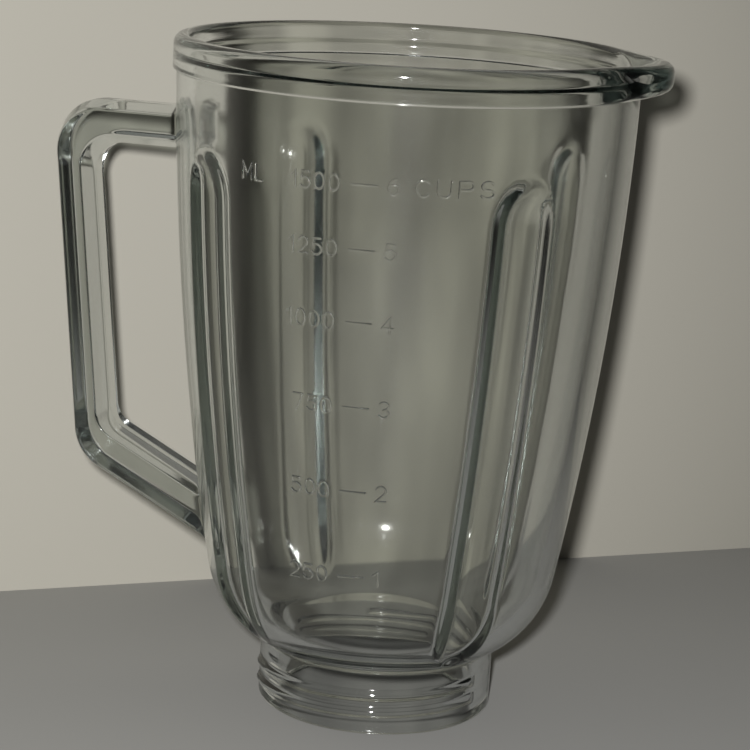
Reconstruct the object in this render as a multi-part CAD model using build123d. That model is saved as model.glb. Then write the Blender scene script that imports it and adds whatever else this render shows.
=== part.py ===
from build123d import *
import os
from math import acos, cos, degrees, radians, sin, sqrt, tan

# Main sizes of the jar, in millimetres
jar_height = 207.0
rim_radius = 71.0
wall = 5.2

# Threaded collar at the bottom
collar_radius = 36.8
collar_height = 20.4
bore_radius = 31.0
foot_round = 1.5
bore_top_round = 2.5
collar_nook = 1.4

# Outside of the body: shoulder and gently bowed wall, which runs up into the rim band
wall_taper = 16.4
shoulder_rise = 23.6
wall_bow = 2.94
neck_rise = 2.6

# Rim band and lid seat
rim_band = 11.6
rim_overhang = 1.1
rim_wall = 5.0
rim_top_round = 3.0
rim_lower_round = 3.4
mouth_round = 1.4
seat_depth = 5.4

# Pouring spout, pointing along +X
spout_tip_radius = 30.6
spout_reach = 8.6
spout_underside_angle = 14.0
lip_wall = 5.4
channel_angle = 42.0
channel_depth = 12.0
channel_inset = 0.8
channel_round = 2.0

# Four flutes pressed into the wall
flute_radius = 12.0
flute_depth = 4.6
flute_top_drop = 31.0
flute_top_bend = 34.0
flute_bottom_bend = 75.0
flute_tail_lift = 2.7
flute_run_out = 1.5
flute_edge_round = 2.4
flute_angles = (45.0, 135.0, 225.0, 315.0)

# Handle, pointing along -X
handle_width = 19.0
handle_round = 5.0
handle_drop = 24.4
top_arm_depth = 12.9
handle_reach = 41.0
grip_lean = 5.4
grip_depth = 12.2
heel_height = 69.0
lower_arm_slope = 27.4
lower_arm_depth = 15.6
corner_outer_round = 14.5
corner_inner_round = 9.0
heel_outer_round = 16.0
heel_inner_round = 8.0
handle_root_round = 3.0
handle_sink = 6.6

# Thread on the collar, relieved flat on both sides at the mould seam
thread_pitch = 5.4
thread_height = 1.1
thread_crest = 1.2
thread_base = 3.6
thread_front_height = 7.2
thread_lead_in = 0.55
thread_turns = 2.1
seam_relief = 2.3
thread_sink = 0.6


# Round one corner of a flat outline
def round_corner(face, corner, radius):
    return fillet(face.vertices().sort_by_distance(corner)[0], radius)


# Outside of the body from the foot to the neck
band_bottom = jar_height - rim_band
hip_radius = rim_radius - wall_taper
hip_height = collar_height + shoulder_rise
neck_height = band_bottom + neck_rise
foot = Vector(collar_radius, 0)
nook = Vector(collar_radius, collar_height)
hip = Vector(hip_radius, hip_height)
neck = Vector(rim_radius - rim_overhang, neck_height)
chord = neck - hip
belly = (hip + neck) / 2 + Vector(chord.Y, -chord.X).normalized() * wall_bow
wall_arc = ThreePointArc(hip, belly, neck)
wall_centre = wall_arc.arc_center
shoulder_arc = TangentArc(hip, nook, tangent=-(wall_arc % 0))
outside_face = make_face(
    [
        Line((0, 0), foot),
        Line(foot, nook),
        shoulder_arc,
        wall_arc,
        Line(neck, (0, neck_height)),
        Line((0, neck_height), (0, 0)),
    ]
)
outside_face = round_corner(outside_face, foot, foot_round)
outside_face = round_corner(outside_face, nook, collar_nook)
body = revolve(Plane.XZ * outside_face, Axis.Z)

# Path of a flute: it follows the wall and runs out of it at the top and on the shoulder
flute_top = jar_height - flute_top_drop
flute_bow = wall_arc.radius - flute_depth + flute_radius
flute_rise = sqrt(flute_top_bend**2 - (flute_top_bend - flute_depth) ** 2)
flute_bend_height = flute_top - flute_rise
flute_high_reach = sqrt(flute_bow**2 - (flute_bend_height - wall_centre.Y) ** 2)
tail_lift = degrees(flute_tail_lift / wall_arc.radius)
low_direction = (hip - wall_centre).normalized().rotate(Axis.Z, tail_lift)
flute_low = wall_centre + low_direction * flute_bow
flute_high = Vector(wall_centre.X + flute_high_reach, flute_bend_height)
middle_direction = ((flute_low + flute_high) / 2 - wall_centre).normalized()
flute_middle = wall_centre + middle_direction * flute_bow
flute_run = ThreePointArc(flute_low, flute_middle, flute_high)


# Angle at the corner between two sides of a triangle, in degrees
def corner_angle(side, other_side, opposite):
    return degrees(acos((side**2 + other_side**2 - opposite**2) / (2 * side * other_side)))


exit_bend = flute_top_bend - flute_radius
exit_reach = wall_arc.radius + flute_radius + flute_run_out
exit_turn = corner_angle(flute_bow + exit_bend, exit_bend, exit_reach)
tail_bend = flute_bottom_bend + flute_radius
tail_centre = flute_low - low_direction * tail_bend
tail_shift = shoulder_arc.arc_center - tail_centre
tail_reach = shoulder_arc.radius + flute_radius + flute_run_out
tail_turn = low_direction.get_angle(tail_shift) + corner_angle(tail_bend, tail_shift.length, tail_reach)
flute_exit = JernArc(flute_high, flute_run % 1, exit_bend, -exit_turn)
flute_tail = JernArc(flute_low, -(flute_run % 0), tail_bend, -tail_turn)
flute_path = Plane.XZ * Wire([flute_tail, flute_run, flute_exit])


# Press four round bars along the flute path into a turned solid and soften the edges
def fluted(solid, bar_radius):
    section = Plane(origin=flute_path @ 0, z_dir=flute_path % 0) * Circle(bar_radius)
    bar = sweep(section, path=flute_path)
    for angle in flute_angles:
        solid -= Rot(0, 0, angle) * bar
    return fillet(solid.edges().filter_by(GeomType.BSPLINE), flute_edge_round)


body = fluted(body, flute_radius)

# Rim's mouth and the centre of the spout's tip
mouth_radius = rim_radius - rim_wall
spout_tip_offset = rim_radius + spout_reach - spout_tip_radius


# Plan of the rim: a circle drawn out into the rounded tip of the spout
def lip_plan(circle_radius, tip_radius):
    angle = acos((circle_radius - tip_radius) / spout_tip_offset)
    left = Vector(cos(angle), sin(angle))
    right = Vector(cos(angle), -sin(angle))
    tip_centre = Vector(spout_tip_offset, 0)
    tip = Vector(spout_tip_offset + tip_radius, 0)
    tip_left = tip_centre + left * tip_radius
    tip_right = tip_centre + right * tip_radius
    back = (-circle_radius, 0)
    return make_face(
        [
            ThreePointArc(left * circle_radius, back, right * circle_radius),
            Line(right * circle_radius, tip_right),
            ThreePointArc(tip_right, tip, tip_left),
            Line(tip_left, left * circle_radius),
        ]
    )


# Rim band with the spout, its underside rising outwards
dish_reach = mouth_radius + rim_radius
dish_edge = band_bottom + rim_radius * tan(radians(spout_underside_angle))
dish_face = make_face(
    Polyline(
        (0, band_bottom),
        (mouth_radius, band_bottom),
        (dish_reach, dish_edge),
        (dish_reach, jar_height),
        (0, jar_height),
        (0, band_bottom),
    )
)
dish = Rot(0, 0, 180) * revolve(Plane.XZ * dish_face, Axis.Z)
band_plan = Pos(0, 0, band_bottom) * lip_plan(rim_radius, spout_tip_radius)
rim = dish & extrude(band_plan, rim_band)
rim = fillet(rim.edges().group_by(Axis.Z)[-1], rim_top_round)
lower_edges = rim.edges().filter_by(GeomType.BSPLINE) + rim.edges().filter_by(GeomType.HYPERBOLA)
rim = fillet(lower_edges, rim_lower_round)

# Handle outline in its own plane, as reach from the axis and height
handle_top = jar_height - handle_drop
grip_reach = rim_radius + handle_reach
handle_root_reach = hip_radius - handle_sink
grip_fall = tan(radians(grip_lean))
arm_fall = tan(radians(lower_arm_slope))
grip_step = grip_depth / cos(radians(grip_lean))
arm_step = lower_arm_depth / cos(radians(lower_arm_slope))
under_top = handle_top - top_arm_depth


# Reach of the outer side of the grip at a height
def grip_outer(height):
    return grip_reach - (handle_top - height) * grip_fall


corner_outer = Vector(grip_reach, handle_top)
corner_inner = Vector(grip_outer(under_top) - grip_step, under_top)
heel_outer = Vector(grip_outer(heel_height), heel_height)
heel_rise = (arm_step - grip_step * arm_fall) / (1 - arm_fall * grip_fall)
heel_inner = Vector(grip_outer(heel_height + heel_rise) - grip_step, heel_height + heel_rise)
arm_root = Vector(handle_root_reach, heel_height - (heel_outer.X - handle_root_reach) * arm_fall)
handle_face = make_face(
    Polyline(
        (handle_root_reach, handle_top),
        corner_outer,
        heel_outer,
        arm_root,
        arm_root + Vector(0, arm_step),
        heel_inner,
        corner_inner,
        (handle_root_reach, under_top),
        (handle_root_reach, handle_top),
    )
)
handle_face = round_corner(handle_face, corner_outer, corner_outer_round)
handle_face = round_corner(handle_face, corner_inner, corner_inner_round)
handle_face = round_corner(handle_face, heel_outer, heel_outer_round)
handle_face = round_corner(handle_face, heel_inner, heel_inner_round)
handle = extrude(Plane.XZ * handle_face, handle_width / 2, both=True)
side_edges = handle.edges().filter_by(lambda edge: abs(edge.center().Y) > handle_width / 4)
side_edges = side_edges.filter_by(lambda edge: edge.center().X > handle_root_reach + 1)
handle = Rot(0, 0, 180) * fillet(side_edges, handle_round)

# Body, rim band and handle grown together, with rounded handle roots
jar = body + rim + handle
root_edges = jar.edges().filter_by(GeomType.BSPLINE)
root_edges = root_edges.filter_by(lambda edge: abs(edge.center().Y) < handle_width / 2 + 1)
root_edges = root_edges.filter_by_position(Axis.X, -rim_radius, -handle_root_reach)
root_edges = root_edges.filter_by_position(Axis.Z, collar_height, handle_top + 1)
jar = fillet(root_edges, handle_root_round)


# Point of the wall moved inwards by the wall thickness
def inside(point):
    return point - (point - wall_centre).normalized() * wall


# Inside of the jar: bore, shoulder, wall and lid seat
inner_hip = inside(hip)
inner_neck = inside(neck)
inner_arc = ThreePointArc(inner_hip, inside(belly), inner_neck)
inner_turn = shoulder_arc.radius - wall
turn_centre = shoulder_arc.arc_center
bore_top_drop = sqrt(inner_turn**2 - (bore_radius - turn_centre.X) ** 2)
bore_top = Vector(bore_radius, turn_centre.Y - bore_top_drop)
inner_shoulder = TangentArc(inner_hip, bore_top, tangent=-(inner_arc % 0))
bore_foot = Vector(bore_radius, 0)
seat = Vector(mouth_radius, jar_height - seat_depth)
ledge = Vector(inner_neck.X, seat.Y - (mouth_radius - inner_neck.X))
inside_face = make_face(
    [
        Line((0, 0), bore_foot),
        Line(bore_foot, bore_top),
        inner_shoulder,
        inner_arc,
        Line(inner_neck, ledge),
        Line(ledge, seat),
        Line(seat, (mouth_radius, jar_height)),
        Line((mouth_radius, jar_height), (0, jar_height)),
        Line((0, jar_height), (0, 0)),
    ]
)
inside_face = round_corner(inside_face, bore_top, bore_top_round)
hollow = fluted(revolve(Plane.XZ * inside_face, Axis.Z), flute_radius + wall)
jar -= hollow

# Pouring channel of the spout, flowing into the wall and the lid seat
channel_tip_radius = spout_tip_radius - lip_wall
channel_plan = Pos(0, 0, jar_height) * lip_plan(mouth_radius - channel_inset, channel_tip_radius)
jar -= extrude(channel_plan, -channel_depth, taper=channel_angle)


# Edge where the channel leaves the inside of the jar
def on_channel(edge):
    middle = edge.center()
    reach = sqrt(middle.X**2 + middle.Y**2)
    return middle.X > hip_radius and reach < mouth_radius + 0.1 and middle.Z > band_bottom


channel_edges = jar.edges().filter_by(GeomType.CIRCLE, reverse=True).filter_by(on_channel)
channel_edges = channel_edges.filter_by(GeomType.BEZIER, reverse=True)
jar = fillet(channel_edges, channel_round)

# Rounded edge of the mouth
top_face = jar.faces().sort_by(Axis.Z)[-1]
jar = fillet(top_face.inner_wires()[0].edges(), mouth_round)

# Right-handed thread on the collar
helix = Helix(thread_pitch, thread_turns * thread_pitch, collar_radius)
ridge_face = make_face(
    Polyline(
        (-thread_sink, -thread_base / 2),
        (thread_height, -thread_crest / 2),
        (thread_height, thread_crest / 2),
        (-thread_sink, thread_base / 2),
        (-thread_sink, -thread_base / 2),
    )
)
ridge_plane = Plane(origin=helix @ 0, x_dir=(1, 0, 0), z_dir=helix % 0)
thread = sweep(ridge_plane * ridge_face, path=helix, is_frenet=True)
thread = Rot(0, 0, -90 - 360 * thread_lead_in) * thread
thread = Pos(0, 0, thread_front_height - thread_lead_in * thread_pitch) * thread
thread_reach = collar_radius - seam_relief
thread &= Box(2 * thread_reach, 3 * collar_radius, 3 * collar_height)
jar += thread

os.makedirs("parts", exist_ok=True)
export_step(jar, "parts/glass_jar.step")
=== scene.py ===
from math import cos, pi, radians, sin, sqrt, tan

import bmesh
import bpy
import numpy as np
from mathutils import Matrix, Vector


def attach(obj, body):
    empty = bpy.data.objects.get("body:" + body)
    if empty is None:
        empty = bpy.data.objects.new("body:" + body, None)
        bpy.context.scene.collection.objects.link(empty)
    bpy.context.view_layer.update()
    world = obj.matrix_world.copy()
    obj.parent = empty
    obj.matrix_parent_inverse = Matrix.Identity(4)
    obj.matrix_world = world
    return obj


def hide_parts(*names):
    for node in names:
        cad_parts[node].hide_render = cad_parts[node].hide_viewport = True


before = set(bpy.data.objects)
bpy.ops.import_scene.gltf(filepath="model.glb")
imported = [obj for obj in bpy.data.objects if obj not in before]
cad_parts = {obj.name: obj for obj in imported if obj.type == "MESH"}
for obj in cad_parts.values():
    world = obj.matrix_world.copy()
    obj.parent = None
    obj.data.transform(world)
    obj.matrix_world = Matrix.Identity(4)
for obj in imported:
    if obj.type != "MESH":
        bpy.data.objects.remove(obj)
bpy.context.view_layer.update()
MM = 0.001

# Main sizes of the jar in millimetres
jar_height = 207.0
rim_radius = 71.0
wall = 5.2

# Collar at the bottom and its thread
collar_radius = 36.8
collar_height = 20.4
bore_radius = 31.0
foot_round = 1.5
bore_foot_round = 0.3
bore_top_round = 2.5
collar_nook = 1.4
thread_pitch = 5.4
thread_height = 1.1
thread_crest = 1.2
thread_base = 3.6
thread_front_height = 7.2
thread_lead_in = 0.55
thread_turns = 2.1
seam_relief = 2.3
least_cosine = 0.01

# Wall of the body
wall_taper = 16.4
shoulder_rise = 23.6
wall_bow = 2.94
neck_rise = 2.6
wall_top_rise = 0.85

# Rim band, lid seat and spout
rim_band = 11.6
rim_overhang = 1.1
rim_wall = 5.0
rim_top_round = 3.0
rim_lower_round = 3.4
rim_edge_share = 0.8
rim_edge_least = 0.6
mouth_round = 1.4
seat_depth = 5.4
spout_tip_radius = 30.6
spout_reach = 8.6
spout_underside_angle = radians(14)
steepest_side = 1.4
lip_wall = 5.4
channel_angle = radians(42)
channel_inset = 0.8
channel_blend = 1.6
channel_least_blend = 0.05
channel_least_radius = 1

# Flutes, narrower and rounder at the top than in the CAD model
flute_radius = 8.5
flute_depth = 4.4
flute_top_drop = 34.5
flute_top_bend = 14.0
flute_bottom_bend = 75.0
flute_tail_lift = 2.7
flute_edge_blend = 0.7
flute_angles = (45, 135, 225, 315)

# Handle, with flats where the CAD model has round edges
handle_width = 19.0
outer_flat_width = 7.5
outer_flat_fall = 2.0
inner_flat_width = 6.0
inner_flat_fall = 3.0
flat_edge_round = 0.8
flat_edge_share = 0.06
handle_drop = 24.4
top_arm_depth = 12.9
handle_reach = 41.0
grip_lean = radians(5.4)
grip_depth = 12.2
heel_height = 69.0
lower_arm_slope = radians(27.4)
lower_arm_depth = 15.6
lower_arm_run = 50
corner_outer_round = 14.5
corner_inner_round = 9.0
heel_outer_round = 16.0
heel_inner_round = 8.0
handle_root_round = 3.0
root_clearance = 0.15
root_rises = (-2.0, -0.15, -0.1, 0.0, 0.15, 0.35, 0.6, 1.0, 1.5, 2.1, 3.0, 5.0)

# Columns of points round the jar, with more of them near the flutes' edges, in degrees
column_count = 264
fine_column_count = 7200
flute_column_gain = 2.6
flute_column_bearing = 7.8
flute_column_spread = 3.2

# Rows of points along each stretch of the jar's section
bore_corner_count = 4
foot_flat_count = 2
foot_arc_count = 6
collar_side_count = 36
nook_arc_count = 5
shoulder_count = 26
wall_count = 88
rim_under_count = 10
rim_side_count = 6
rim_top_count = 8
mouth_arc_count = 7
seat_count = 7
ledge_count = 4
throat_count = 4
inner_wall_count = 80
inner_shoulder_count = 24
bore_arc_count = 6
bore_count = 7

# Points along the handle and the scale's strokes, and steps of each search
handle_arc_count = 16
handle_run_count = 24
flat_edge_count = 4
bow_count = 13
bead_count = 7
halving_count = 36
root_halving_count = 40

# Raised measuring scale: height of each row with its millilitres and cups
scale_rows = (
    (173.8, "1500", "6"),
    (155.2, "1250", "5"),
    (134.2, "1000", "4"),
    (109.1, "750", "3"),
    (83.4, "500", "2"),
    (56.5, "250", "1"),
)
scale_bearing = radians(-85.75)
sign_height = 4.6
sign_gap = 1.45
letter_gap = 2.3
dash_half = 3.6
volume_end = -7.3
cups_start = 6.7
volume_unit_start = -38.6
cups_unit_start = 14.4
bead_half_width = 0.36
bead_rise = 0.55
bead_sink = 0.3
cap_reaches = (0.95, 0.6)
cap_sizes = (0.31, 0.8)
least_corner = 0.65
sharp_edge = radians(50)

# Camera at the photograph's viewing angle
camera_place = Vector((163.1, -706.3, 274.9)) * MM
camera_target = Vector((-5.0, -1.2, 104.2)) * MM
camera_roll = radians(3.22)
camera_lens = 115.3
camera_sensor = 36

# Backdrop wall and floor, each with painted light: a bright pool round one place that fades to painted
# shade further away
wall_distance = 120 * MM
wall_turn = radians(33.8)
stage_reach = 6.0
wall_height = 1.6
wall_colour = (0.47, 0.45, 0.39, 1)
# Painted shade that the wall and floor fade to, away from the centre of their painted pool of light
wall_painted_shade_colour = (0.03, 0.03, 0.025, 1)
wall_painted_light_centre = Vector((-117, 66, 110)) * MM
floor_colour = (0.40, 0.395, 0.375, 1)
floor_painted_shade_colour = (0.05, 0.05, 0.045, 1)
floor_painted_light_centre = Vector((0, 0, 0))
painted_light_fade_start = 0.12
painted_light_fade_end = 0.66

# Lamp and surroundings
key_place = Vector((139, -706, 300)) * MM
key_target = Vector((0, 0, 0.1))
key_size = 0.03
key_power = 6.5
world_colour = (0.03, 0.03, 0.03, 1)

# Glass
glass_ior = 1.5
glass_roughness = 0.05
glass_colour = (0.98, 0.985, 0.98, 1)
absorption_colour = (0.48, 0.55, 0.53, 1)
absorption_density = 20.0
ripple_scale = 45.0
ripple_detail = 2.0
ripple_strength = 0.03
ripple_depth = 0.001
shadow_clear = (0.98, 0.98, 0.96, 1)
shadow_dim = (0.78, 0.78, 0.77, 1)
shadow_streaks = (70.0, 70.0, 14.0)
streak_start = 0.3
streak_end = 0.7
facing_blend = 0.5
shadow_edge = (0.05, 0.055, 0.05, 1)
shadow_edge_start = 0.3
shadow_edge_end = 0.7


# Direction of one vector
def unit(v):
    return v / np.linalg.norm(v)


# Directions along rows of steps
def ways(steps):
    return steps / np.linalg.norm(steps, axis=1)[:, None]


# Centre and radius of the circle through three points
def circle_through(a, b, c):
    sides = 2 * np.array((b - a, c - a))
    sums = np.array((b @ b - a @ a, c @ c - a @ a))
    centre = np.linalg.solve(sides, sums)
    return centre, np.linalg.norm(a - centre)


# Angle of a point seen from a centre
def bearing(point, centre):
    return np.arctan2(point[1] - centre[1], point[0] - centre[0])


# Wall and shoulder as circles in the plane of radius and height
band_bottom = jar_height - rim_band
hip = np.array((rim_radius - wall_taper, collar_height + shoulder_rise))
neck = np.array((rim_radius - rim_overhang, band_bottom + neck_rise))
chord = neck - hip
belly = (hip + neck) / 2 + unit(np.array((chord[1], -chord[0]))) * wall_bow
wall_centre, wall_radius = circle_through(hip, belly, neck)
hip_normal = unit(hip - wall_centre)
hip_angle = bearing(hip, wall_centre)
hip_to_nook = np.array((collar_radius, collar_height)) - hip
shoulder_radius = -(hip_to_nook @ hip_to_nook) / (2 * hip_to_nook @ hip_normal)
shoulder_centre = hip - hip_normal * shoulder_radius
mouth_radius = rim_radius - rim_wall
spout_tip_offset = rim_radius + spout_reach - spout_tip_radius

# Path of a flute's round bar in the same plane
flute_bow = wall_radius - flute_depth + flute_radius
flute_rise = sqrt(flute_top_bend**2 - (flute_top_bend - flute_depth) ** 2)
bend_height = jar_height - flute_top_drop - flute_rise
exit_bend = flute_top_bend - flute_radius
tail_bend = flute_bottom_bend + flute_radius
low_angle = hip_angle + flute_tail_lift / wall_radius
high_angle = np.arcsin((bend_height - wall_centre[1]) / flute_bow)
tail_centre = wall_centre + np.array((cos(low_angle), sin(low_angle))) * (flute_bow - tail_bend)
exit_centre = wall_centre + np.array((cos(high_angle), sin(high_angle))) * (flute_bow + exit_bend)


# Distance from the flute's path in the plane of radius and height
def path_distance(x, z):
    angle = np.arctan2(z - wall_centre[1], x - wall_centre[0])
    run = np.abs(np.hypot(x - wall_centre[0], z - wall_centre[1]) - flute_bow)
    tail = np.abs(np.hypot(x - tail_centre[0], z - tail_centre[1]) - tail_bend)
    leave = np.abs(np.hypot(x - exit_centre[0], z - exit_centre[1]) - exit_bend)
    return np.where(angle < low_angle, tail, np.where(angle > high_angle, leave, run))


# Gap between points and the nearest flute bar
def flute_gap(r, z, bar_radius):
    gap = np.full(r.shape, 1e3)
    for angle in flute_angles:
        turn = columns - radians(angle)
        x = r * np.cos(turn)
        near = np.hypot(path_distance(x, z), r * np.sin(turn)) - bar_radius
        gap = np.where(x > 0, np.minimum(gap, near), gap)
    return gap


# Common part of two forms with a soft edge, from their surface distances
def soft_meet(a, b, blend):
    corner = np.hypot(np.maximum(a + blend, 0), np.maximum(b + blend, 0))
    return np.minimum(np.maximum(a, b), -blend) + corner


# Press the flutes into rows of points on a circle of the plane
def fluted_rows(centre, radius, angles, bar_radius):
    normal_r = np.cos(angles)[:, None]
    normal_z = np.sin(angles)[:, None]
    low = np.zeros((len(angles), column_count))
    high = np.full(low.shape, 2 * flute_depth)
    for _ in range(halving_count):
        depth = (low + high) / 2
        r = centre[0] + normal_r * (radius - depth)
        z = centre[1] + normal_z * (radius - depth)
        outside = soft_meet(-depth, -flute_gap(r, z, bar_radius), flute_edge_blend) > 0
        low = np.where(outside, depth, low)
        high = np.where(outside, high, depth)
    return centre[0] + normal_r * (radius - low), centre[1] + normal_z * (radius - low)


# Rows of points that are the same at every angle
def turned_rows(r, z):
    shape = (len(r), column_count)
    return np.broadcast_to(r[:, None], shape), np.broadcast_to(z[:, None], shape)


# Rows of a turned arc
def arc_rows(centre_r, centre_z, radius, start, end, count):
    angles = np.linspace(start, end, count)
    return turned_rows(centre_r + radius * np.cos(angles), centre_z + radius * np.sin(angles))


# Radius of the rim's plan: a circle drawn out into the spout's round tip
def lip_plan(circle_radius, tip_radius):
    edge = np.arccos((circle_radius - tip_radius) / spout_tip_offset)
    around = np.abs(np.angle(np.exp(1j * columns)))
    straight = circle_radius / np.cos(np.minimum(edge - around, steepest_side))
    across = spout_tip_offset * np.sin(around)
    tip = spout_tip_offset * np.cos(around) + np.sqrt(np.maximum(tip_radius**2 - across**2, 0))
    tip_end = np.arctan2(tip_radius * np.sin(edge), spout_tip_offset + tip_radius * np.cos(edge))
    return np.where(around < tip_end, tip, np.where(around < edge, straight, circle_radius))


# Outline of the rim drawn in by an inset
def rim_plan(inset):
    return lip_plan(rim_radius - inset, spout_tip_radius - inset)


# Angles of the columns, closer together at the edges of the flutes
def column_angles():
    fine = np.linspace(0, 2 * pi, fine_column_count)
    density = np.ones(fine.shape)
    for angle in flute_angles:
        off = np.degrees(np.abs(np.angle(np.exp(1j * (fine - radians(angle))))))
        from_edge = (off - flute_column_bearing) / flute_column_spread
        density += flute_column_gain * np.exp(-(from_edge**2))
    total = np.cumsum(density)
    return np.interp((np.arange(column_count) + 0.5) / column_count * total[-1], total, fine)


columns = column_angles()


# Height of the thread's ridge above the collar
def thread_rise(z):
    slope = 2 * thread_height / (thread_base - thread_crest)
    start = -pi / 2 - 2 * pi * thread_lead_in
    foot = thread_front_height - thread_lead_in * thread_pitch
    rise = np.zeros(z.shape)
    for lap in (-1, 0, 1):
        turns = (columns - start) / (2 * pi) + lap
        off = np.abs(z - foot - turns * thread_pitch)
        ridge = np.clip((thread_base / 2 - off) * slope, 0, thread_height)
        rise = np.where((turns > 0) & (turns < thread_turns), np.maximum(rise, ridge), rise)
    across = np.maximum(np.abs(np.cos(columns)), least_cosine)
    relief = (collar_radius - seam_relief) / across - collar_radius
    return np.maximum(np.minimum(rise, relief), 0)


# Foot, collar with its thread, and the nook below the shoulder
def collar_rows():
    nook_r = collar_radius + collar_nook
    reach = shoulder_radius + collar_nook
    nook_z = shoulder_centre[1] - sqrt(reach**2 - (nook_r - shoulder_centre[0]) ** 2)
    nook_end = bearing(shoulder_centre, (nook_r, nook_z))
    foot_inner = bore_radius + bore_foot_round
    foot_outer = collar_radius - foot_round
    bore_corner = arc_rows(foot_inner, bore_foot_round, bore_foot_round, pi, 1.5 * pi, bore_corner_count)
    flat_r = np.linspace(foot_inner, foot_outer, foot_flat_count + 2)[1:-1]
    flat = turned_rows(flat_r, np.zeros(foot_flat_count))
    foot_arc = arc_rows(foot_outer, foot_round, foot_round, -pi / 2, 0, foot_arc_count)
    heights = np.linspace(foot_round, nook_z, collar_side_count + 2)[1:-1]
    r, z = turned_rows(np.full(collar_side_count, collar_radius), heights)
    side = (r + thread_rise(z), z)
    nook_arc = arc_rows(nook_r, nook_z, collar_nook, pi, nook_end, nook_arc_count)
    return [bore_corner, flat, foot_arc, side, nook_arc], nook_end - pi


# Inset at which the rim's plan meets the top of the wall
def inset_to_wall(wall_top):
    low = np.zeros(column_count)
    high = np.full(column_count, 2 * spout_reach)
    for _ in range(halving_count):
        inset = (low + high) / 2
        beyond = rim_plan(inset) > wall_top
        low = np.where(beyond, inset, low)
        high = np.where(beyond, high, inset)
    return low


# Underside and outside of the rim band, up and over to its flat top
def rim_rows(wall_top):
    slope = tan(spout_underside_angle)
    overhang = rim_plan(0) - wall_top
    edge_round = np.clip(rim_edge_share * overhang, rim_edge_least, rim_lower_round)
    edge_z = band_bottom + (rim_plan(0) - mouth_radius) * slope
    arc_z = edge_z + edge_round * (1 / cos(spout_underside_angle) - slope)
    arc_start_inset = edge_round * (1 - sin(spout_underside_angle))
    inset = inset_to_wall(wall_top)
    line = np.maximum(inset - arc_start_inset, 0) / cos(spout_underside_angle)
    sweep = np.arccos(np.maximum(1 - inset / edge_round, sin(spout_underside_angle)))
    length = line + edge_round * sweep
    r = []
    z = []
    for share in np.linspace(0, 1, rim_under_count):
        run = share * length
        turn = np.minimum(sweep - (run - line) / edge_round, sweep)
        before_arc = np.maximum(line - run, 0)
        r.append(rim_plan(edge_round * (1 - np.cos(turn)) + before_arc * cos(spout_underside_angle)))
        z.append(arc_z - edge_round * np.sin(turn) - before_arc * sin(spout_underside_angle))
    top_start = jar_height - rim_top_round
    for share in np.linspace(0, 1, rim_side_count)[1:]:
        r.append(rim_plan(0))
        z.append(arc_z + (top_start - arc_z) * share)
    for turn in np.linspace(0, pi / 2, rim_top_count)[1:]:
        r.append(rim_plan(rim_top_round * (1 - cos(turn))))
        z.append(np.full(column_count, top_start + rim_top_round * sin(turn)))
    return np.array(r), np.array(z)


# Widen the mouth by the spout's pouring channel
def with_channel(r, z):
    drawn_in = (jar_height - z) * tan(channel_angle)
    circle_radius = np.maximum(mouth_radius - channel_inset - drawn_in, channel_least_radius)
    tip_radius = np.maximum(spout_tip_radius - lip_wall - drawn_in, channel_least_radius)
    channel = lip_plan(circle_radius, tip_radius)
    top = lip_plan(mouth_radius - channel_inset, spout_tip_radius - lip_wall)
    share = np.clip((top - mouth_radius) / channel_blend, channel_least_blend, 1)
    blend = channel_blend * share
    overlap = np.maximum(blend - np.abs(r - channel), 0)
    return np.maximum(r, channel) + overlap**2 / (4 * blend)


# Flat top, mouth and lid seat, down to the neck
def mouth_rows(inner_neck):
    seat_z = jar_height - seat_depth
    ledge_z = seat_z - (mouth_radius - inner_neck[0])
    turns = np.linspace(0, pi / 2, mouth_arc_count)
    heights = np.concatenate((
        jar_height - mouth_round * (1 - np.cos(turns)),
        np.linspace(jar_height - mouth_round, seat_z, seat_count)[1:],
        np.linspace(seat_z, ledge_z, ledge_count)[1:],
        np.linspace(ledge_z, inner_neck[1], throat_count)[1:-1],
    ))
    opened = np.zeros(len(heights))
    opened[:mouth_arc_count] = mouth_round * (1 - np.sin(turns))
    steps_z = (-jar_height, -seat_z, -ledge_z)
    steps_r = (mouth_radius, mouth_radius, inner_neck[0])
    plain = np.interp(-heights, steps_z, steps_r)
    r, z = turned_rows(plain, heights)
    return with_channel(r, z) + opened[:, None], z


# Inside of the jar below the neck: wall with its ribs, shoulder and bore
def inner_rows():
    neck_angle = bearing(neck, wall_centre)
    turn = shoulder_radius - wall
    top_r = bore_radius + bore_top_round
    reach = turn + bore_top_round
    top_z = shoulder_centre[1] - sqrt(reach**2 - (top_r - shoulder_centre[0]) ** 2)
    bore_end = bearing((top_r, top_z), shoulder_centre)
    wall_angles = np.linspace(neck_angle, hip_angle, inner_wall_count)
    shoulder_angles = np.linspace(hip_angle, bore_end, inner_shoulder_count)[1:]
    r, z = fluted_rows(wall_centre, wall_radius - wall, wall_angles, flute_radius + wall)
    side = (with_channel(r, z), z)
    shoulder = fluted_rows(shoulder_centre, turn, shoulder_angles, flute_radius + wall)
    top_arc = arc_rows(top_r, top_z, bore_top_round, bore_end + pi, pi, bore_arc_count)
    bore_heights = np.linspace(top_z, bore_foot_round, bore_count + 2)[1:-1]
    bore = turned_rows(np.full(bore_count, bore_radius), bore_heights)
    return [side, shoulder, (top_arc[0][1:], top_arc[1][1:]), bore]


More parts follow.
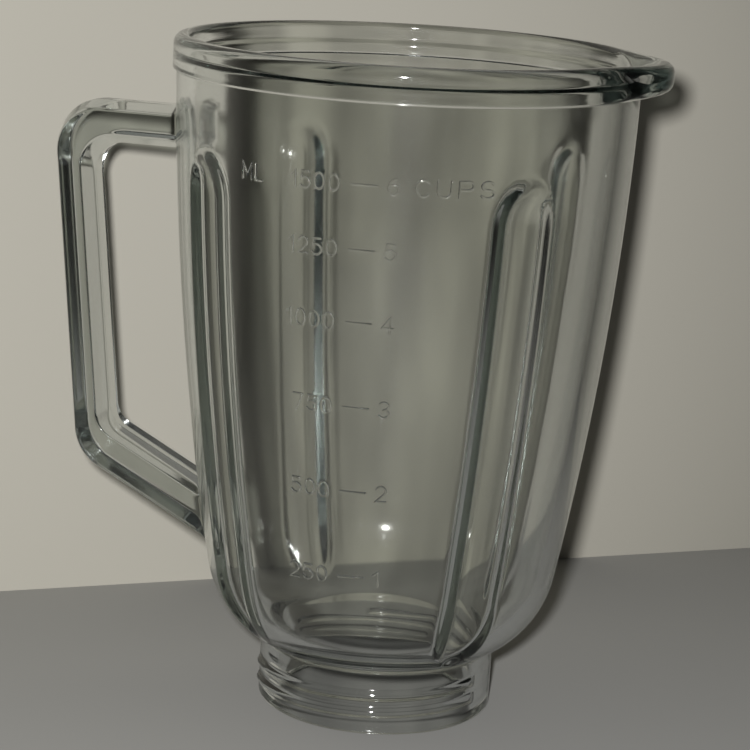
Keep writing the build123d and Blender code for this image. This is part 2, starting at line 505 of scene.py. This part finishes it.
# All rows of the jar without its handle, once round the section of its wall
def jar_rows():
    parts, shoulder_start = collar_rows()
    shoulder_angles = np.linspace(shoulder_start, hip_angle, shoulder_count)[1:]
    parts.append(fluted_rows(shoulder_centre, shoulder_radius, shoulder_angles, flute_radius))
    wall_end = hip_angle + (band_bottom + wall_top_rise - hip[1]) / wall_radius
    wall_angles = np.linspace(hip_angle, wall_end, wall_count)[1:]
    side = fluted_rows(wall_centre, wall_radius, wall_angles, flute_radius)
    parts.append(side)
    parts.append(rim_rows(side[0][-1]))
    inner_neck = neck - unit(neck - wall_centre) * wall
    parts.append(mouth_rows(inner_neck))
    parts.extend(inner_rows())
    return np.concatenate([p[0] for p in parts]), np.concatenate([p[1] for p in parts])


# A mesh object made of points in millimetres and faces
def add_mesh(name, points, faces, material, smooth):
    mesh = bpy.data.meshes.new(name)
    mesh.from_pydata([Vector(p) * MM for p in points], [], faces)
    mesh.materials.append(material)
    mesh.polygons.foreach_set("use_smooth", [smooth] * len(mesh.polygons))
    made = bpy.data.objects.new(name, mesh)
    bpy.context.scene.collection.objects.link(made)
    return made


# Faces of a grid of points, closed along its columns and, if asked, along its rows
def grid_faces(row_count, columns_in_row, closed):
    faces = []
    for i in range(row_count if closed else row_count - 1):
        upper = (i + 1) % row_count
        for j in range(columns_in_row):
            k = (j + 1) % columns_in_row
            faces.append((
                i * columns_in_row + j,
                i * columns_in_row + k,
                upper * columns_in_row + k,
                upper * columns_in_row + j,
            ))
    return faces


# The jar without its handle
def add_jar(material):
    r, z = jar_rows()
    points = np.stack((r * np.cos(columns), r * np.sin(columns), z), axis=-1).reshape(-1, 3)
    faces = grid_faces(len(r), column_count, True)
    return add_mesh("jar_glass", points.tolist(), faces, material, True)


# Handle's outline as reach from the axis and height
handle_top = jar_height - handle_drop
under_top = handle_top - top_arm_depth
grip_reach = rim_radius + handle_reach
grip_step = grip_depth / cos(grip_lean)
arm_step = lower_arm_depth / cos(lower_arm_slope)
arm_way = np.array((cos(lower_arm_slope), sin(lower_arm_slope)))


# Point on the outer side of the grip at a height
def grip_outer(height):
    return np.array((grip_reach - (handle_top - height) * tan(grip_lean), height))


# Two arcs and the run between them, along a line with rounded corners
def rounded_bends(points, rounds):
    bends = []
    for before, corner, after, radius in zip(points, points[1:], points[2:], rounds):
        back = unit(before - corner)
        ahead = unit(after - corner)
        half = np.arccos(back @ ahead) / 2
        centre = corner + unit(back + ahead) * radius / sin(half)
        start = bearing(corner + back * radius / tan(half), centre)
        end = bearing(corner + ahead * radius / tan(half), centre)
        sweep = np.angle(np.exp(1j * (end - start)))
        turns = start + sweep * np.linspace(0, 1, handle_arc_count)
        bends.append(centre + radius * np.stack((np.cos(turns), np.sin(turns)), axis=-1))
    shares = np.linspace(0, 1, handle_run_count)[1:-1, None]
    run = bends[0][-1] + (bends[1][0] - bends[0][-1]) * shares
    return np.concatenate((bends[0], run, bends[1]))


# Corners of the handle's section as pairs of place across the width and place through the depth
def section_corners(depth):
    half = handle_width / 2
    outer_half = half - outer_flat_width
    inner_half = half - inner_flat_width
    return np.array((
        (half, depth - outer_flat_fall), (outer_half, depth),
        (-outer_half, depth), (-half, depth - outer_flat_fall),
        (-half, inner_flat_fall), (-inner_half, 0.0),
        (inner_half, 0.0), (half, inner_flat_fall),
    ))


# Section with flats between rounded edges, grown outward all round
def section(depth, grown):
    corners = section_corners(depth)
    ahead = ways(np.roll(corners, -1, axis=0) - corners)
    leaving = np.stack((ahead[:, 1], -ahead[:, 0]), axis=-1)
    arriving = np.roll(leaving, 1, axis=0)
    inset = (leaving + arriving) / (1 + (leaving * arriving).sum(axis=1))[:, None]
    centres = corners - flat_edge_round * inset
    start = np.arctan2(arriving[:, 1], arriving[:, 0])
    sweep = np.angle(np.exp(1j * (np.arctan2(leaving[:, 1], leaving[:, 0]) - start)))
    turns = start[:, None] + sweep[:, None] * np.linspace(0, 1, flat_edge_count)
    spokes = np.stack((np.cos(turns), np.sin(turns)), axis=-1)
    arcs = centres[:, None] + (flat_edge_round + grown) * spokes
    flat_start = arcs[:, -1:]
    flat_end = np.roll(arcs[:, :1], -1, axis=0)
    near = flat_start + (flat_end - flat_start) * flat_edge_share
    far = flat_end - (flat_end - flat_start) * flat_edge_share
    return np.concatenate((arcs, near, far), axis=1).reshape(-1, 2)


# Distance of points outside the jar's body
def body_gap(reach, y, z):
    r = np.hypot(reach, y)
    on_wall = np.arctan2(z - wall_centre[1], r - wall_centre[0]) > hip_angle
    side = np.hypot(r - wall_centre[0], z - wall_centre[1]) - wall_radius
    low = np.hypot(r - shoulder_centre[0], z - shoulder_centre[1]) - shoulder_radius
    return np.where(on_wall, side, low)


# Rings of an arm where it grows out of the body, flared by the root's rounding
def root_rings(inner_point, outer_point, way, depth):
    down = unit(outer_point - inner_point)
    rings = []
    for rise in root_rises:
        left = np.clip(handle_root_round - rise - root_clearance, 0, handle_root_round)
        ring = section(depth, handle_root_round - sqrt(handle_root_round**2 - left**2))
        base = inner_point + ring[:, 1:] * down
        low = np.full(len(ring), -rim_radius)
        high = np.full(len(ring), rim_radius)
        for _ in range(root_halving_count):
            middle = (low + high) / 2
            place = base + middle[:, None] * way
            outside = body_gap(place[:, 0], ring[:, 0], place[:, 1]) > 0
            high = np.where(outside, middle, high)
            low = np.where(outside, low, middle)
        place = base + (low + rise)[:, None] * way
        rings.append(np.stack((-place[:, 0], ring[:, 0], place[:, 1]), axis=-1))
    return rings


# The handle: two arms and a grip between them
def add_handle(material):
    slope = tan(lower_arm_slope)
    heel_rise = (arm_step - grip_step * slope) / (1 - slope * tan(grip_lean))
    heel_outer = grip_outer(heel_height)
    heel_inner = grip_outer(heel_height + heel_rise) - (grip_step, 0)
    corner_inner = grip_outer(under_top) - (grip_step, 0)
    top_outer = np.array((rim_radius, handle_top))
    top_inner = np.array((rim_radius, under_top))
    low_outer = heel_outer - arm_way * lower_arm_run
    low_inner = low_outer + np.array((-arm_way[1], arm_way[0])) * lower_arm_depth
    outer = rounded_bends(
        (top_outer, grip_outer(handle_top), heel_outer, low_outer),
        (corner_outer_round, heel_outer_round),
    )
    inner = rounded_bends(
        (top_inner, corner_inner, heel_inner, low_inner),
        (corner_inner_round, heel_inner_round),
    )
    last = len(outer) - 1
    arc_end = handle_arc_count - 1
    depths = np.interp(
        np.arange(len(outer)), (0, arc_end, last - arc_end, last),
        (top_arm_depth, grip_depth, grip_depth, lower_arm_depth),
    )
    rings = root_rings(top_inner, top_outer, np.array((1.0, 0.0)), top_arm_depth)
    for near, far, depth in zip(inner, outer, depths):
        ring = section(depth, 0)
        place = near + (far - near) * ring[:, 1:] / depth
        rings.append(np.stack((-place[:, 0], ring[:, 0], place[:, 1]), axis=-1))
    rings.extend(reversed(root_rings(low_inner, low_outer, arm_way, lower_arm_depth)))
    in_ring = len(rings[0])
    faces = grid_faces(len(rings), in_ring, False)
    faces.append(tuple(reversed(range(in_ring))))
    faces.append(tuple(range((len(rings) - 1) * in_ring, len(rings) * in_ring)))
    handle = add_mesh("handle", np.concatenate(rings).tolist(), faces, material, True)
    face_outward(handle)
    return handle


# A stretch of an ellipse as points of a stroke, by its angles in degrees
def bow(x, y, half_width, half_height, start, end):
    turns = np.radians(np.linspace(start, end, bow_count))
    return [(x + half_width * cos(t), y + half_height * sin(t)) for t in turns]


# Width and strokes of each sign, in a box one unit high
signs = {
    "0": (0.62, [bow(0.31, 0.5, 0.31, 0.5, 90, 450)]),
    "1": (0.34, [[(0.0, 0.76), (0.3, 1.0), (0.3, 0.0)]]),
    "2": (0.62, [bow(0.31, 0.7, 0.3, 0.3, 165, -38) + [(0.0, 0.0), (0.62, 0.0)]]),
    "3": (0.62, [bow(0.3, 0.75, 0.28, 0.25, 150, -90), bow(0.3, 0.25, 0.32, 0.25, 90, -150)]),
    "4": (0.66, [[(0.47, 0.0), (0.47, 1.0), (0.0, 0.3)], [(0.0, 0.3), (0.66, 0.3)]]),
    "5": (0.62, [[(0.56, 1.0), (0.1, 1.0), (0.05, 0.54)] + bow(0.29, 0.32, 0.33, 0.32, 118, -150)]),
    "6": (0.62, [bow(0.31, 0.31, 0.31, 0.31, 90, 450), bow(0.56, 0.31, 0.56, 0.69, 180, 102)]),
    "7": (0.62, [[(0.0, 1.0), (0.62, 1.0), (0.2, 0.0)]]),
    "M": (0.74, [[(0.0, 0.0), (0.0, 1.0), (0.37, 0.25), (0.74, 1.0), (0.74, 0.0)]]),
    "L": (0.5, [[(0.0, 1.0), (0.0, 0.0), (0.5, 0.0)]]),
    "C": (0.8, [bow(0.44, 0.5, 0.44, 0.5, 48, 312)]),
    "U": (0.84, [
        [(0.0, 1.0), (0.0, 0.42)] + bow(0.42, 0.42, 0.42, 0.42, 190, 350) + [(0.84, 0.42), (0.84, 1.0)],
    ]),
    "P": (0.86, [
        [(0.0, 0.0), (0.0, 1.0)],
        [(0.0, 1.0)] + bow(0.56, 0.74, 0.3, 0.26, 90, -90) + [(0.0, 0.48)],
    ]),
    "S": (0.84, [bow(0.42, 0.745, 0.38, 0.255, 25, 262) + bow(0.42, 0.25, 0.42, 0.25, 82, -155)]),
}


# Length of a word along its row
def word_length(word, gap):
    return sum(signs[c][0] * sign_height for c in word) + gap * (len(word) - 1)


# Strokes of a word on its row, each with its place among the sign's strokes
def word_strokes(word, start, gap):
    placed = []
    for character in word:
        width, strokes = signs[character]
        for order, stroke in enumerate(strokes):
            points = (np.array(stroke) - (0, 0.5)) * sign_height + (start, 0)
            placed.append((order, points))
        start += width * sign_height + gap
    return placed


# Strokes of the whole scale with the height of their row
def scale_strokes():
    strokes = []
    for height, volume, cups in scale_rows:
        row = [(0, np.array(((-dash_half, 0.0), (dash_half, 0.0))))]
        row += word_strokes(volume, volume_end - word_length(volume, sign_gap), sign_gap)
        row += word_strokes(cups, cups_start, sign_gap)
        strokes += [(height, order, points) for order, points in row]
    top = scale_rows[0][0]
    units = word_strokes("ML", volume_unit_start, sign_gap)
    units += word_strokes("CUPS", cups_unit_start, letter_gap)
    return strokes + [(top, order, points) for order, points in units]


# Middle line of a bead with the direction across it and its share of the full size
def bead_line(stroke):
    steps = ways(np.diff(stroke, axis=0))
    if np.allclose(stroke[0], stroke[-1]):
        middle = stroke[:-1]
        back = np.roll(steps, 1, axis=0)
        ahead = steps
        size = np.ones(len(middle))
    else:
        cap = bead_half_width * np.array(cap_reaches)[:, None]
        middle = np.concatenate((stroke[0] - cap * steps[0], stroke, stroke[-1] + cap[::-1] * steps[-1]))
        first = np.repeat(steps[:1], 3, axis=0)
        last = np.repeat(steps[-1:], 3, axis=0)
        ends = np.concatenate((first, steps, last))
        back = ends[:-1]
        ahead = ends[1:]
        size = np.ones(len(middle))
        size[:2] = cap_sizes
        size[-2:] = cap_sizes[::-1]
    way = ways(back + ahead)
    widen = 1 / np.maximum(np.sum(way * ahead, axis=1), least_corner)
    across = np.stack((-way[:, 1], way[:, 0]), axis=-1) * (widen * size)[:, None]
    return middle, across, size


# Points of the jar's wall lifted by a rise, from places on a row of the scale
def on_wall(row_height, run, height, rise):
    z = row_height + height
    r = wall_centre[0] + np.sqrt(wall_radius**2 - (z - wall_centre[1]) ** 2)
    row_radius = wall_centre[0] + sqrt(wall_radius**2 - (row_height - wall_centre[1]) ** 2)
    turn = scale_bearing + run / row_radius
    r = r + rise * (r - wall_centre[0]) / wall_radius
    z = z + rise * (z - wall_centre[1]) / wall_radius
    return np.stack((r * np.cos(turn), r * np.sin(turn), z), axis=-1)


# Beads of one order of strokes as one mesh
def add_beads(order, material):
    turns = np.radians(np.linspace(0, 180, bead_count))
    sides = np.concatenate(((1,), np.cos(turns), (-1,))) * bead_half_width
    rises = np.concatenate(((-bead_sink,), np.sin(turns) * bead_rise, (-bead_sink,)))
    points = []
    faces = []
    for row_height, stroke_order, stroke in scale_strokes():
        if stroke_order != order:
            continue
        middle, across, size = bead_line(stroke)
        place = middle[:, None, :] + across[:, None, :] * sides[None, :, None]
        lift = np.where(rises > 0, rises * size[:, None], rises)
        rings = on_wall(row_height, place[..., 0], place[..., 1], lift)
        closed = np.allclose(stroke[0], stroke[-1])
        first = len(points)
        made = grid_faces(len(middle), len(sides), closed)
        if not closed:
            made.append(tuple(reversed(range(len(sides)))))
            made.append(tuple(range((len(middle) - 1) * len(sides), len(middle) * len(sides))))
        points += rings.reshape(-1, 3).tolist()
        faces += [tuple(first + k for k in face) for face in made]
    beads = add_mesh("scale_beads", points, faces, material, True)
    face_outward(beads)
    return beads


# Turn all faces of a closed mesh outward
def face_outward(piece):
    form = bmesh.new()
    form.from_mesh(piece.data)
    bmesh.ops.recalc_face_normals(form, faces=form.faces)
    form.to_mesh(piece.data)
    form.free()


# Grow one closed piece onto another and keep the joined mesh
def grow_together(piece, other):
    join = piece.modifiers.new("join", "BOOLEAN")
    join.operation = "UNION"
    join.solver = "MANIFOLD"
    join.object = other
    graph = bpy.context.evaluated_depsgraph_get()
    joined = bpy.data.meshes.new_from_object(piece.evaluated_get(graph))
    piece.modifiers.clear()
    piece.data = joined
    bpy.data.objects.remove(other)


# A new material with an empty node tree and its output
def new_material(name):
    material = bpy.data.materials.new(name)
    material.use_nodes = True
    tree = material.node_tree
    tree.nodes.clear()
    output = tree.nodes.new("ShaderNodeOutputMaterial")
    return material, tree, output


# Surface of clear pressed glass with a faint ripple
def glass_surface(nodes, links, place):
    glass = nodes.new("ShaderNodeBsdfPrincipled")
    glass.inputs["Base Color"].default_value = glass_colour
    glass.inputs["Roughness"].default_value = glass_roughness
    glass.inputs["IOR"].default_value = glass_ior
    glass.inputs["Transmission Weight"].default_value = 1.0
    ripple = nodes.new("ShaderNodeTexNoise")
    ripple.inputs["Scale"].default_value = ripple_scale
    ripple.inputs["Detail"].default_value = ripple_detail
    links.new(place.outputs["Object"], ripple.inputs["Vector"])
    bump = nodes.new("ShaderNodeBump")
    bump.inputs["Strength"].default_value = ripple_strength
    bump.inputs["Distance"].default_value = ripple_depth
    links.new(ripple.outputs["Fac"], bump.inputs["Height"])
    links.new(bump.outputs["Normal"], glass.inputs["Normal"])
    return glass


# A value eased from 0 to 1 between two limits
def eased(nodes, links, value, start, end):
    ease = nodes.new("ShaderNodeMapRange")
    ease.interpolation_type = "SMOOTHSTEP"
    ease.inputs["From Min"].default_value = start
    ease.inputs["From Max"].default_value = end
    links.new(value, ease.inputs["Value"])
    return ease.outputs["Result"]


# Uneven streaks of light that the glass lets through
def shadow_streak_tint(nodes, links, place):
    stretch = nodes.new("ShaderNodeMapping")
    stretch.inputs["Scale"].default_value = shadow_streaks
    links.new(place.outputs["Object"], stretch.inputs["Vector"])
    streak = nodes.new("ShaderNodeTexNoise")
    streak.inputs["Scale"].default_value = 1.0
    streak.inputs["Detail"].default_value = 1.0
    links.new(stretch.outputs["Vector"], streak.inputs["Vector"])
    tint = nodes.new("ShaderNodeMix")
    tint.data_type = "RGBA"
    tint.inputs["A"].default_value = shadow_dim
    tint.inputs["B"].default_value = shadow_clear
    wave = eased(nodes, links, streak.outputs["Fac"], streak_start, streak_end)
    links.new(wave, tint.inputs["Factor"])
    return tint.outputs["Result"]


# See-through surface that casts the glass's shadow, dark where the light grazes it
def shadow_surface(nodes, links, place):
    facing = nodes.new("ShaderNodeLayerWeight")
    facing.inputs["Blend"].default_value = facing_blend
    tint = nodes.new("ShaderNodeMix")
    tint.data_type = "RGBA"
    links.new(shadow_streak_tint(nodes, links, place), tint.inputs["A"])
    tint.inputs["B"].default_value = shadow_edge
    edge = eased(nodes, links, facing.outputs["Facing"], shadow_edge_start, shadow_edge_end)
    links.new(edge, tint.inputs["Factor"])
    shade = nodes.new("ShaderNodeBsdfTransparent")
    links.new(tint.outputs["Result"], shade.inputs["Color"])
    return shade


# Clear pressed glass, grey green in thick places, with a shadow of its own
def glass_material():
    material, tree, output = new_material("pressed_glass")
    nodes = tree.nodes
    links = tree.links
    place = nodes.new("ShaderNodeTexCoord")
    glass = glass_surface(nodes, links, place)
    shade = shadow_surface(nodes, links, place)
    path = nodes.new("ShaderNodeLightPath")
    mix = nodes.new("ShaderNodeMixShader")
    links.new(path.outputs["Is Shadow Ray"], mix.inputs["Fac"])
    links.new(glass.outputs["BSDF"], mix.inputs[1])
    links.new(shade.outputs["BSDF"], mix.inputs[2])
    links.new(mix.outputs["Shader"], output.inputs["Surface"])
    volume = nodes.new("ShaderNodeVolumeAbsorption")
    volume.inputs["Color"].default_value = absorption_colour
    volume.inputs["Density"].default_value = absorption_density
    links.new(volume.outputs["Volume"], output.inputs["Volume"])
    return material


# A matt surface for the stage with painted light: its colour fades from a bright pool round one place to
# painted shade far away; seen from its front only where one_sided is set
def stage_material(name, colour, painted_shade_colour, painted_light_centre, one_sided):
    material, tree, output = new_material(name)
    nodes = tree.nodes
    links = tree.links
    matt = nodes.new("ShaderNodeBsdfDiffuse")
    place = nodes.new("ShaderNodeTexCoord")
    away = nodes.new("ShaderNodeVectorMath")
    away.operation = "DISTANCE"
    away.inputs[1].default_value = painted_light_centre
    links.new(place.outputs["Object"], away.inputs[0])
    # Painted light: the colour gets darker with distance from the bright place, standing in for the
    # lamp's falloff
    fade = eased(nodes, links, away.outputs["Value"], painted_light_fade_start, painted_light_fade_end)
    painted_light_tone = nodes.new("ShaderNodeMix")
    painted_light_tone.data_type = "RGBA"
    painted_light_tone.inputs["A"].default_value = colour
    painted_light_tone.inputs["B"].default_value = painted_shade_colour
    links.new(fade, painted_light_tone.inputs["Factor"])
    links.new(painted_light_tone.outputs["Result"], matt.inputs["Color"])
    shader = matt.outputs["BSDF"]
    if one_sided:
        geometry = nodes.new("ShaderNodeNewGeometry")
        clear = nodes.new("ShaderNodeBsdfTransparent")
        mix = nodes.new("ShaderNodeMixShader")
        links.new(geometry.outputs["Backfacing"], mix.inputs["Fac"])
        links.new(shader, mix.inputs[1])
        links.new(clear.outputs["BSDF"], mix.inputs[2])
        shader = mix.outputs["Shader"]
    links.new(shader, output.inputs["Surface"])
    return material


# The jar as one piece of glass
glass = glass_material()
jar = add_jar(glass)
grow_together(jar, add_handle(glass))
grow_together(jar, add_beads(0, glass))
grow_together(jar, add_beads(1, glass))
jar.data.set_sharp_from_angle(angle=sharp_edge)
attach(jar, "root")
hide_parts("glass_jar")


# A flat stage surface from a corner and its two sides, in metres
def add_stage(name, corner, side, other_side, material):
    corners = (corner, corner + side, corner + side + other_side, corner + other_side)
    made = add_mesh(name, [c / MM for c in corners], [(0, 1, 2, 3)], material, False)


# Floor under the jar and a wall close behind it
add_stage(
    "floor",
    Vector((-stage_reach, -stage_reach, 0)),
    Vector((2 * stage_reach, 0, 0)),
    Vector((0, 2 * stage_reach, 0)),
    stage_material("pale_floor", floor_colour, floor_painted_shade_colour, floor_painted_light_centre, False),
)
away = Vector((-sin(wall_turn), cos(wall_turn), 0))
along = Vector((cos(wall_turn), sin(wall_turn), 0))
add_stage(
    "backdrop",
    away * wall_distance - along * stage_reach,
    along * 2 * stage_reach,
    Vector((0, 0, wall_height)),
    stage_material("pale_wall", wall_colour, wall_painted_shade_colour, wall_painted_light_centre, True),
)

# Camera
camera_data = bpy.data.cameras.new("camera")
camera_data.lens = camera_lens
camera_data.sensor_width = camera_sensor
camera = bpy.data.objects.new("camera", camera_data)
bpy.context.scene.collection.objects.link(camera)
turn = (camera_target - camera_place).to_track_quat("-Z", "Y").to_matrix().to_4x4()
camera.matrix_world = Matrix.Translation(camera_place) @ turn @ Matrix.Rotation(camera_roll, 4, "Z")
bpy.context.scene.camera = camera

# Key lamp beside the camera
key_data = bpy.data.lights.new("key", "AREA")
key_data.shape = "DISK"
key_data.size = key_size
key_data.energy = key_power
key = bpy.data.objects.new("key", key_data)
bpy.context.scene.collection.objects.link(key)
aim = (key_target - key_place).to_track_quat("-Z", "Y").to_matrix().to_4x4()
key.matrix_world = Matrix.Translation(key_place) @ aim

# Surroundings
world = bpy.data.worlds.new("surroundings")
bpy.context.scene.world = world
world.use_nodes = True
world.node_tree.nodes["Background"].inputs["Color"].default_value = world_colour
world.node_tree.nodes["Background"].inputs["Strength"].default_value = 1.0

# View and light paths through the glass
scene = bpy.context.scene
scene.view_settings.view_transform = "Standard"
scene.cycles.max_bounces = 32
scene.cycles.transmission_bounces = 24
scene.cycles.glossy_bounces = 16
scene.cycles.transparent_max_bounces = 32
scene.cycles.caustics_refractive = False
scene.cycles.caustics_reflective = False
